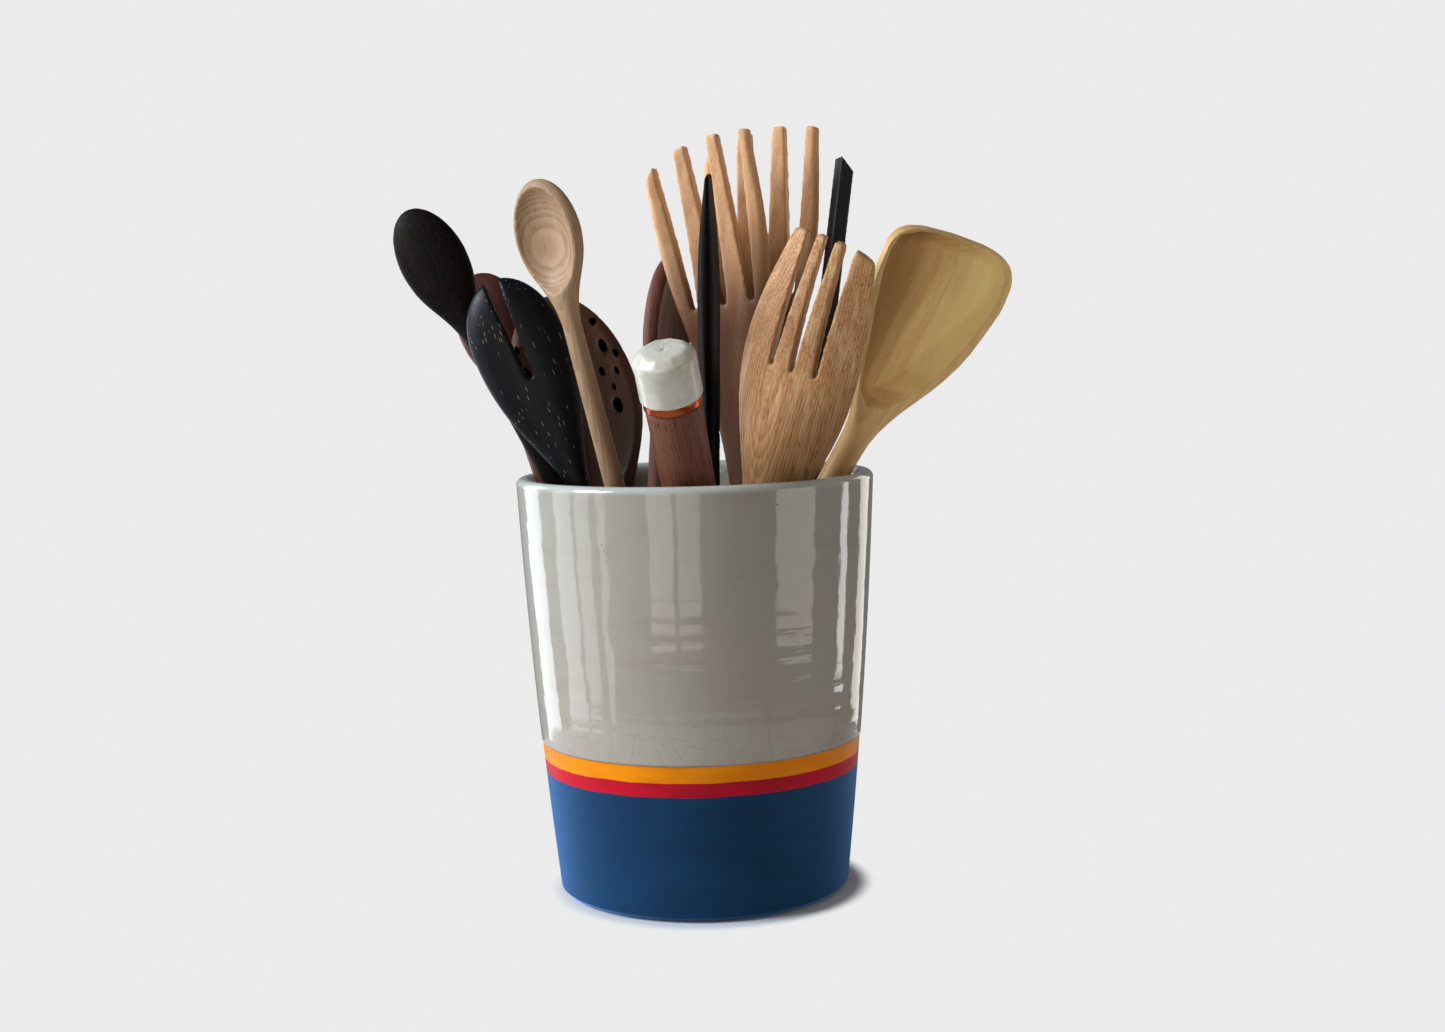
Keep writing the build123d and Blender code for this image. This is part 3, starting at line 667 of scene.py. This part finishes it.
def toolFrame(node, body):
    # the tool's own axes: Z up its handle, X across its head, from the spread of its top 60 mm; its foot
    # is the middle of its lowest 12 mm
    up = np.array(lifts[body])
    points = readVectors(node.data.vertices, "co")
    along = points @ up
    head = points[along > along.max() - 60 * mm]
    flat = head - head.mean(0)
    flat -= np.outer(flat @ up, up)
    _, _, axes = np.linalg.svd(flat, full_matrices=False)
    across = axes[0] * (1 if axes[0][0] >= 0 else -1)
    across -= up * (across @ up)
    across /= np.linalg.norm(across)
    foot = points[along < along.min() + 12 * mm].mean(0)
    return foot, np.stack((across, np.cross(up, across), up))


def insideDistance(points, outline):
    # how far each point lies inside a closed outline (negative outside)
    start = np.array(outline, float)
    end = np.roll(start, -1, axis=0)
    side = end - start
    offset = points[:, None, :] - start[None]
    share = np.clip((offset * side).sum(-1) / (side**2).sum(-1), 0, 1)
    nearest = np.linalg.norm(offset - share[..., None] * side, axis=-1).min(1)
    above = (start[:, 1] > points[:, 1:2]) != (end[:, 1] > points[:, 1:2])
    rise = np.where(side[:, 1] == 0, 1, side[:, 1])
    crossing = start[:, 0] + (points[:, 1:2] - start[:, 1]) / rise * side[:, 0]
    inside = (above & (points[:, 0:1] < crossing)).sum(1) % 2 == 1
    return np.where(inside, nearest, -nearest)


def wokForm(look):
    # rows of sections up the tool; each runs round the swollen back, then along the front with its scoop
    blade = np.arange(206, look["crownEnd"] + 1)
    rows = np.concatenate((look["height"][:6], np.linspace(120, 204, 9), blade))
    turn = np.linspace(0, 2 * math.pi, look["around"], endpoint=False)
    start = look["crownStart"]

    def table(name, at):
        return np.interp(at, look["height"], look[name])

    height = np.repeat(rows[:, None], len(turn), axis=1)
    left, right = table("left", height), table("right", height)
    swing = np.cos(turn)[None]
    across = np.where(swing > 0, right * swing, left * swing)
    # above the crown's start the rows bend to follow the top edge
    top = np.interp(across, look["topAcross"], look["topHeight"])
    share = np.clip((height - start) / (look["crownEnd"] - start), 0, 1)
    height = np.where(height > start, start + share * (top - start), height)
    rim = table("rim", height)
    bulge = np.sqrt(np.clip(1 - swing**2, 0, 1))
    back = rim + look["rimBack"] + table("backSwell", height) * bulge
    front = rim - look["rimFront"] - table("frontSwell", height) * bulge
    flat = np.stack((across, height), -1).reshape(-1, 2)
    within = insideDistance(flat, look["scoopEdge"]).reshape(height.shape) + look["scoopGrow"]
    hollow = np.sin(math.pi / 2 * np.clip(within / look["scoopWall"], 0, 1))
    scooped = front + hollow * (look["scoopDepth"] + table("frontSwell", height) * bulge)
    front = np.where(within > 0, np.minimum(scooped, back - look["wood"]), front)
    depth = np.where(np.sin(turn)[None] >= 0, back, front)
    form = np.stack((across, depth, height), -1) * mm
    # the top closes with a strip from back to front, not with a pole
    around, last = len(turn), (len(rows) - 1) * len(turn)
    column = np.arange(around // 2)
    mirrored = (around - column) % around
    strip = last + np.stack((column, column + 1, around - column - 1, mirrored), -1)
    strip = [list(dict.fromkeys(quad)) for quad in strip.tolist()]
    faces = gridFaces(len(rows), around)[:-around] + strip
    return withPoles(form)[:-1], faces


def wokScooped(local, normals, look):
    # 1 on the hollow of the scoop, 0 on the lip, the back and the handle
    within = insideDistance(local[:, [0, 2]] / mm, look["scoopEdge"]) + look["scoopGrow"]
    facing = normals[:, 1] < 0.2
    return np.clip(within / look["scoopFade"], 0, 1) * facing


def slimTines(local, look):
    # each of the four tines narrows a little toward its tip, about its own middle line
    across, depth, height = local.T / mm
    share = np.clip((height - look["root"]) / (look["reach"] - look["root"]), 0, 1)
    pitch = look["pitch"][0] + (look["pitch"][1] - look["pitch"][0]) * share
    middle = (np.clip(np.floor(across / pitch), -2, 1) + 0.5) * pitch
    across = middle + (across - middle) * (1 - look["slim"] * share)
    return np.stack((across, depth, height), -1) * mm


def skimmerRods(node, foot, axes, look):
    # plugs for the straight holes, and rods that drill them again on a slant
    def cast(point, way):
        start = foot + (point - np.array((0, way * look["rodHalf"] * 2, 0))) @ axes
        hit, place, _, _ = node.ray_cast(Vector(start), Vector(way * axes[1]))
        return ((np.array(place) - foot) @ axes.T)[1] if hit else None

    def rod(centre, half, start, end, slant):
        turn = np.linspace(0, 2 * math.pi, look["around"], endpoint=False)
        oval = np.stack((half[0] * np.cos(turn), 0 * turn, half[1] * np.sin(turn)), -1)
        way = np.array((math.tan(math.radians(slant)), 1, 0))
        return np.stack([centre + oval + way * (depth - centre[1]) for depth in (start, end)])

    plugs, rods = [], []
    for sign in (-1, 1):
        for across, height, halfWidth, halfHeight in look["holes"]:
            half = (halfWidth * mm, halfHeight * mm)
            place = np.array((sign * across * mm, 0, height * mm))
            turn = np.arange(8)
            rim = np.stack((half[0] * np.cos(turn), 0 * turn, half[1] * np.sin(turn)), -1) * 1.4 + place
            front, back = (
                np.mean([depth for depth in (cast(point, way) for point in rim) if depth is not None])
                + way * look["plugInset"] for way in (1, -1)
            )
            place[1] = front
            grown = tuple(size + look["plugGrow"] for size in half)
            plugs.append(rod(place, grown, front, back, 0))
            rods.append(rod(place, half, front - look["rodHalf"], front + look["rodHalf"], look["slant"]))
    return [joinRods(forms, foot, axes) for forms in (plugs, rods)]


def joinRods(forms, foot, axes):
    points, faces = [], []
    for form in forms:
        faces += gridFaces(form.shape[0], form.shape[1], sum(len(part) for part in points))
        points.append(withPoles(form) @ axes + foot)
    return np.concatenate(points), faces


def addForm(mesh, points, faces):
    # a closed form joined into a mesh
    extra = bpy.data.meshes.new("extra")
    extra.from_pydata(points.tolist(), [], faces)
    faceOutward(extra)
    joined = bmesh.new()
    joined.from_mesh(mesh)
    joined.from_mesh(extra)
    joined.to_mesh(mesh)
    joined.free()
    bpy.data.meshes.remove(extra)


def bakeModifiers(piece):
    # the piece's mesh with its modifiers worked in
    graph = bpy.context.evaluated_depsgraph_get()
    mesh = bpy.data.meshes.new_from_object(piece.evaluated_get(graph))
    piece.modifiers.clear()
    old, piece.data = piece.data, mesh
    bpy.data.meshes.remove(old)
    return mesh


def drill(piece, points, faces):
    # the rods are cut out of the piece, and their near-black wood, painted shade, lines the holes
    rods = makePiece("drill", points, faces)
    cut = piece.modifiers.new("drill", "BOOLEAN")
    cut.operation = "DIFFERENCE"
    cut.object = rods
    cut.solver = "EXACT"
    cut.use_self = True
    cut.material_mode = "TRANSFER"
    rods.data.materials.append(woods["holeShadeWalnut"])
    mesh = bakeModifiers(piece)
    bpy.data.objects.remove(rods)
    return mesh


def carve(name, wood, grain, passes):
    # remeshed in even small cells, worn smooth, then drilled or slimmed on the tool's own axes
    node = nodes[name]
    foot, axes = toolFrame(node, name)
    if grain is None:
        points, faces = wokForm(wokLook)
        piece = makePiece(name + "Wood", points @ axes + foot, faces)
        rounded = piece.modifiers.new("rounded", "SUBSURF")
        rounded.levels = rounded.render_levels = 1
    else:
        piece = addObject(name + "Wood", node.data.copy())
        piece.data.materials.clear()
        weld = piece.modifiers.new("weld", "WELD")
        weld.merge_threshold = 0.01 * mm
        remesh = piece.modifiers.new("carve", "REMESH")
        remesh.mode = "VOXEL"
        remesh.voxel_size = grain * mm
    smooth = piece.modifiers.new("wear", "SMOOTH")
    smooth.factor = 0.5
    smooth.iterations = passes
    if name == "skimmer":
        plugs, rods = skimmerRods(node, foot, axes, skimmerLook)
        addForm(piece.data, *plugs)
    mesh = bakeModifiers(piece)
    mesh.materials.clear()
    mesh.materials.append(woods[wood])
    if name == "skimmer":
        mesh = drill(piece, *rods)
    local = (readVectors(mesh.vertices, "co") - foot) @ axes.T
    if name in tineLook:
        local = slimTines(local, tineLook[name])
    mesh.vertices.foreach_set("co", (local @ axes + foot).astype(np.float32).ravel())
    mesh.name = name + "Wood"
    mesh.shade_smooth()
    if name == "skimmer":
        mesh.set_sharp_from_angle(angle=math.radians(skimmerLook["sharp"]))
    writeAttribute(mesh, "alongTool", "FLOAT_VECTOR", "vector", local)
    if name == "wok_spatula":
        normals = readVectors(mesh.vertex_normals, "vector") @ axes.T
        writeAttribute(mesh, "scooped", "FLOAT", "value", wokScooped(local, normals, wokLook))
    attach(piece, name)
    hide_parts(name)
    print(name, "carved:", len(mesh.polygons), "faces")


for name, (wood, slotName, grain, passes) in carving.items():
    carve(name, wood, grain, passes)


# The muddler: marble head, copper band and turned shaft

muddlerLook = {
    "around": 64,
    "headAround": 120,
    "facets": 10,
    "bandEdge": 0.35 * mm,
    "headEdge": 0.8 * mm,
    "headChamfer": 3.2 * mm,
    "shaftFoot": 8.0 * mm,
    "marble": "bbb6a4",
    "marbleVein": "b3aea0",
    "marbleWarm": "cfcabb",
    "copper": "a64e28",
    "copperRough": 0.22,
    "steel": "9a9a98",
}


def marbleMaterial(look):
    # honed white marble: cloudy cream with thin grey veins
    material, shader, add = newMaterial("honedMarble")
    tone = tones(look)
    place = add("attribute", attribute_name="alongTool")
    cloud = add("noise", place, 1 / (12 * mm), 4.0, 0.6, 0.6)
    vein = add("stretch", place, (1, 1.4, 0.7), (0.2, 0.1, 0))
    vein = add("noise", vein, 1 / (16 * mm), 5.0, 0.6, 1.2)
    vein = add("maths", vein, 0.5, operation="SUBTRACT")
    vein = add("maths", vein, operation="ABSOLUTE")
    vein = add("range", vein, 0.0, 0.03, 0.18, 0.0)
    warm = add("range", cloud, 0.35, 0.7)
    colour = add("mix", warm, tone["marble"], tone["marbleWarm"])
    fillSockets(shader, {
        "Base Color": add("mix", vein, colour, tone["marbleVein"]),
        "Roughness": add("range", cloud, 0.3, 0.7, 0.24, 0.34),
        "IOR": 1.5,
        "Subsurface Weight": 0.12,
        "Subsurface Radius": (3 * mm, 2.5 * mm, 2 * mm),
        "Subsurface Scale": 1.0,
        "Normal": add("bump", add("noise", place, 1 / (0.7 * mm), 2.0), 0.02 * mm, 0.4),
    })
    return material


def copperMaterial(look):
    # turned copper: fine rings round its axis and a little tarnish
    material, shader, add = newMaterial("brushedCopper")
    place = add("attribute", attribute_name="alongTool")
    rings = add("stretch", place, (0.1, 0.1, 1))
    rings = add("noise", rings, 1 / (0.25 * mm), 2.0)
    tarnish = add("noise", place, 1 / (4 * mm), 3.0)
    tarnish = add("range", tarnish, 0.5, 0.75, 0.0, 0.7)
    bright, rough = hexColour(look["copper"]), look["copperRough"]
    dull = tuple(0.62 * part for part in bright[:3]) + (1.0,)
    fillSockets(shader, {
        "Base Color": add("mix", tarnish, bright, dull),
        "Roughness": add("range", rings, 0.3, 0.7, rough, rough + 0.14),
        "Metallic": 1.0,
        "Normal": add("bump", rings, 0.02 * mm, 0.5),
    })
    return material


def steelMaterial(look):
    # turned steel of the hidden stud: plain grey with fine scratches
    material, shader, add = newMaterial("turnedSteel")
    scratch = add("noise", add("coordinates"), 1 / (0.5 * mm), 2.0)
    fillSockets(shader, {
        "Base Color": hexColour(look["steel"]),
        "Roughness": add("range", scratch, 0.3, 0.7, 0.25, 0.4),
        "Metallic": 1.0,
    })
    return material


def alongAxis(node, up, foot):
    # the lowest and highest reach of a node along the muddler's axis, and its largest radius
    points = readVectors(node.data.vertices, "co") - foot
    along = points @ up
    radius = np.linalg.norm(points - np.outer(along, up), axis=1)
    return along.min(), along.max(), radius.max()


def makeMuddler(look):
    # three profiles turned on one axis: the shaft from its foot up, the band, the head and its bevel
    up = np.array(lifts["muddler"])
    points = readVectors(nodes["muddler_stud"].data.vertices, "co")
    middle = (points.min(0) + points.max(0)) / 2
    across = np.cross((0, 1, 0), up)
    across /= np.linalg.norm(across)
    turned = np.stack((across, np.cross(up, across), up), 1)
    placed = Matrix.Translation(Vector(middle)) @ Matrix(turned.tolist()).to_4x4()
    shaftLow, _, shaftRadius = alongAxis(nodes["muddler_shaft"], up, middle)
    bandLow, bandHigh, bandRadius = alongAxis(nodes["muddler_band"], up, middle)
    headLow, headHigh, headRadius = alongAxis(nodes["muddler_head"], up, middle)

    footRadius = look["shaftFoot"]
    footMiddle = shaftLow + footRadius
    profile = [
        (footRadius * math.sin(a), footMiddle - footRadius * math.cos(a))
        for a in np.linspace(0.05, math.pi / 2, 9)
    ]
    profile += [
        (footRadius + (shaftRadius - footRadius) * s, footMiddle + (bandLow - footMiddle) * s)
        for s in np.linspace(0.02, 0.985, 60)
    ]
    profile += [
        (shaftRadius - 0.05 * mm, bandLow - 0.5 * mm), (shaftRadius - 0.5 * mm, bandLow - 0.05 * mm),
        (bandRadius * 0.8, bandLow)
    ]
    shaftPiece = makeRevolved("muddlerShaft", profile, look["around"], placed=placed)
    inset = look["bandEdge"]
    profile = [(bandRadius * 0.8, bandLow), (bandRadius - inset, bandLow), (bandRadius, bandLow + inset)]
    profile += [(bandRadius, h) for h in np.linspace(bandLow + 2 * inset, bandHigh - 2 * inset, 4)]
    profile += [
        (bandRadius, bandHigh - inset), (bandRadius - inset, bandHigh), (bandRadius * 0.8, bandHigh)
    ]
    bandPiece = makeRevolved("muddlerBand", profile, look["around"], placed=placed)
    edge, slope = look["headEdge"], look["headChamfer"]
    bevel = headHigh - slope
    profile = [(headRadius * 0.5, headLow)]
    profile += arcPoints((headRadius - edge, headLow + edge), edge, -90, 0, 6)
    profile += [(headRadius, h) for h in np.linspace(headLow + 2 * mm, bevel - 0.8 * mm, 8)]
    profile += [(headRadius - 0.15 * mm, bevel + 0.1 * mm)]
    profile += [(headRadius - slope * s, bevel + slope * s) for s in (0.2, 0.5, 0.8)]
    profile += [
        (headRadius - slope - 0.3 * mm, headHigh - 0.1 * mm), (headRadius - slope - 1 * mm, headHigh)
    ]
    profile += [(headRadius * s, headHigh) for s in (0.55, 0.3, 0.13)]
    # the dimple of the turning centre
    profile += [(1.2 * mm, headHigh - 0.25 * mm), (0.5 * mm, headHigh - 0.7 * mm)]

    def facets(angle, height):
        # the bevel is cut in flat facets: it runs in to a polygon toward the top
        half = math.pi / look["facets"]
        flat = 1 - math.cos(half) / np.cos(np.mod(angle, 2 * half) - half)
        return headRadius * flat * np.clip((height - bevel) / slope, 0, 1)

    headPiece = makeRevolved("muddlerHead", profile, look["headAround"], facets, placed)
    return shaftPiece, bandPiece, headPiece, middle, turned


shaftPiece, bandPiece, headPiece, muddlerMiddle, muddlerAxes = makeMuddler(muddlerLook)
muddlerParts = (
    (shaftPiece, "muddler_shaft", "muddler_wood", woods["turnedRosewood"]),
    (bandPiece, "muddler_band", "copper", copperMaterial(muddlerLook)),
    (headPiece, "muddler_head", "marble", marbleMaterial(muddlerLook)),
)
for piece, nodeName, slotName, material in muddlerParts:
    local = (readVectors(piece.data.vertices, "co") - muddlerMiddle) @ muddlerAxes
    writeAttribute(piece.data, "alongTool", "FLOAT_VECTOR", "vector", local)
    piece.data.materials.append(material)
    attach(piece, "muddler")
    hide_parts(nodeName)
studSlots = nodes["muddler_stud"].data.materials
studSlots.clear()
studSlots.append(steelMaterial(muddlerLook))
print("muddler ready")


# Stage, light and camera

stageLook = {
    "backdrop": "ebebeb",
    "paper": "cfcfcf",
    "room": "6f7276",  # what glossy pieces reflect between the windows
    "floorRadius": 0.30,
    "shadowStart": 0.0620,
    "shadowEnd": 0.0710,
    "shadowShift": (-0.003, 0.002, 0.0),
    "lens": 48.8,
    "eye": (0.037918, -0.831737, 0.240064),
    "target": (0.011369, 0.0, 0.15911),
    "roll": -0.025,
}

# windows round the table: azimuth from and to (0 is the viewer's side, left is negative), low and high
# edge, light and its colour
windowLook = {
    "windowFarLeft": (-136, -114, -0.60, 1.00, 3.6, "eef5ff"),
    "windowLeft": (-98, -82, -0.45, 1.00, 2.6, "f1f6ff"),
    "windowLeftPane": (-79, -68, -0.40, 1.00, 2.2, "f1f6ff"),
    "windowLeftSlit": (-62, -57, -0.55, 0.90, 2.0, "f1f6ff"),
    "windowFront": (-28, -12, -0.31, 0.70, 1.9, "fff4e6"),
    "windowFrontPane": (-9, 5, -0.31, 0.70, 1.6, "fff4e6"),
    "windowRight": (54, 82, -0.30, 0.40, 1.8, "fff6ec"),
    "windowRightSlit": (108, 116, -0.30, 0.60, 4.0, "ffffff"),
    "windowFarRight": (132, 150, -0.30, 0.80, 2.2, "fff6ea"),
}
windowReach = 1.5
keyLook = {
    "place": (-1.45, -0.45, 1.05),
    "target": (0.0, 0.0, 0.18),
    "size": 0.7,
    "power": 46,
    "gloss": 0.6,
    "colour": "e6f0ff",
}


def stageMaterial(look):
    # plain pale paper: it takes the crock's shadow near the foot and fades into the even backdrop
    material, shader, add = newMaterial("palePaper")
    place = add("stretch", add("coordinates"), (1, 1, 1), look["shadowShift"])
    far = add("range", add("length", place), look["shadowStart"], look["shadowEnd"])
    seen = add("times", add("cameraRays"), far)
    glow = add("glow", hexColour(look["backdrop"]), 1.0)
    fillSockets(shader, {"Base Color": hexColour(look["paper"]), "Roughness": 0.9})
    both = add("shaders", seen, shader.outputs[0], glow)
    fillSockets(material.node_tree.nodes["Material Output"], {"Surface": both})
    return material


def makeStage(look):
    # a round of paper under the crock
    turn = np.linspace(0, 2 * math.pi, 96, endpoint=False)
    edge = look["floorRadius"] * np.stack((np.cos(turn), np.sin(turn), 0 * turn), -1)
    mesh = bpy.data.meshes.new("floor")
    mesh.from_pydata(edge.tolist(), [], [tuple(range(len(edge)))])
    mesh.materials.append(stageMaterial(look))
    floor = addObject("floor", mesh)


def addLamp(name, place, facing, colour):
    # a soft panel that lights the object and isn't seen itself
    lamp = bpy.data.lights.new(name, "AREA")
    lamp.color = hexColour(colour)[:3]
    holder = addObject(name, lamp)
    holder.location = place
    holder.rotation_euler = Vector(facing).to_track_quat("-Z", "Y").to_euler()
    holder.visible_camera = False
    return lamp


def addWindow(name, start, end, low, high, radiance, colour):
    # an upright panel that fills a range of azimuths, seen from the crock
    middle = math.radians((start + end) / 2)
    width, tall = 2 * windowReach * math.tan(math.radians(end - start) / 2), high - low
    place = (windowReach * math.sin(middle), -windowReach * math.cos(middle), (low + high) / 2)
    lamp = addLamp(name, place, (-math.sin(middle), math.cos(middle), 0), colour)
    lamp.shape = "RECTANGLE"
    lamp.size, lamp.size_y = width, tall
    lamp.energy = radiance * math.pi * width * tall


def addKey(look):
    # the soft light from the upper left that shapes the object; the windows give the reflections
    lamp = addLamp("keyLeft", look["place"], Vector(look["target"]) - Vector(look["place"]), look["colour"])
    lamp.size = look["size"]
    lamp.energy = look["power"]
    lamp.specular_factor = look["gloss"]


def addCamera(look):
    lens = bpy.data.cameras.new("camera")
    lens.lens = look["lens"]
    lens.sensor_width = 36
    lens.clip_start = 0.01
    holder = addObject("camera", lens)
    eye = Vector(look["eye"])
    facing = (Vector(look["target"]) - eye).to_track_quat("-Z", "Y").to_matrix()
    facing = facing @ Matrix.Rotation(look["roll"], 3, "Z")
    holder.matrix_world = Matrix.Translation(eye) @ facing.to_4x4()
    bpy.context.scene.camera = holder


makeStage(stageLook)
addCamera(stageLook)
for name, values in windowLook.items():
    addWindow(name, *values)
addKey(keyLook)
world = bpy.data.worlds.new("studio")
bpy.context.scene.world = world
world.use_nodes = True
add = partial(addNode, world.node_tree)
sky = add("mix", add("cameraRays"), hexColour(stageLook["room"]), hexColour(stageLook["backdrop"]))
fillSockets(world.node_tree.nodes["Background"], {"Color": sky})
bpy.context.scene.view_settings.view_transform = "Standard"
print("stage, lamps and camera ready")
